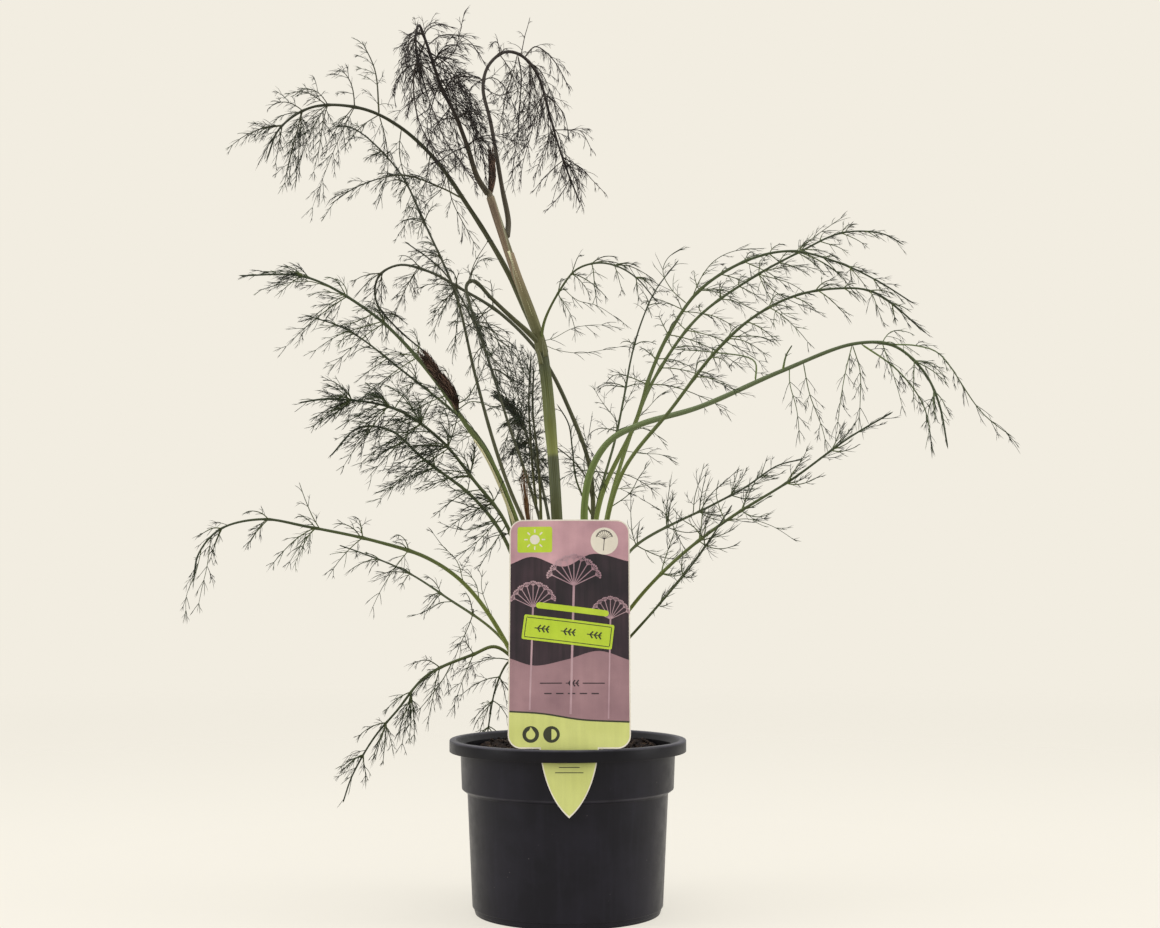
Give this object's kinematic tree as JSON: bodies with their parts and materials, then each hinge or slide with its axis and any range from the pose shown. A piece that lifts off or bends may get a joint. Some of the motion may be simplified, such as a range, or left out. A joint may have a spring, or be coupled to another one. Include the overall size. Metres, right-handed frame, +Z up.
{
  "type": "potted bronze fennel",
  "caption": "Bronze fennel plant with long arching thread-leaved fronds, growing in a round nursery pot of soil with a plant label hooked through its rim.",
  "frame": {"origin": "centre of the pot's foot, on the surface the pot stands on", "axes": "+Z up, -Y towards the plant label's printed side, +X to the right as the label is read"},
  "size_m": [0.5558, 0.2986, 0.6621],
  "materials": {
    "pot": "satin",
    "soil": "matte",
    "label": "satin",
    "stem": "satin",
    "leaf": "satin",
    "bronze_leaf": "satin",
    "bud": "matte"
  },
  "bodies": {
    "root": {"nursery_pot": "pot", "potting_soil": "soil", "plant_label": "label", "root_crown": "stem", "main_stem": "stem", "leaf_low_left_long": "leaf", "leaf_low_left_short": "leaf", "leaf_lowest_left": "leaf", "leaf_back_low_left": "leaf", "leaf_dense_left": "leaf", "leaf_mid_left": "leaf", "leaf_left_shoot": "leaf", "leaf_upper_back_left": "leaf", "leaf_tall_thin_left": "leaf", "leaf_back_left": "leaf", "leaf_hooked": "leaf", "leaf_centre_back": "leaf", "leaf_stem_front": "leaf", "leaf_thick_right_arch": "leaf", "leaf_right_arch": "leaf", "leaf_right_high": "leaf", "leaf_back_right": "leaf", "leaf_right_middle": "leaf", "leaf_low_back_right": "leaf", "leaf_low_front_right": "leaf", "leaf_front_right": "leaf", "leaf_stem_right_arch": "leaf", "leaf_stem_high_left": "leaf", "leaf_top_drooping": "bronze_leaf", "leaf_top_arch": "bronze_leaf", "bud_left_shoot": "bud", "bud_stem_top": "bud", "bud_red_sprout": "bud"}
  },
  "joints": []
}
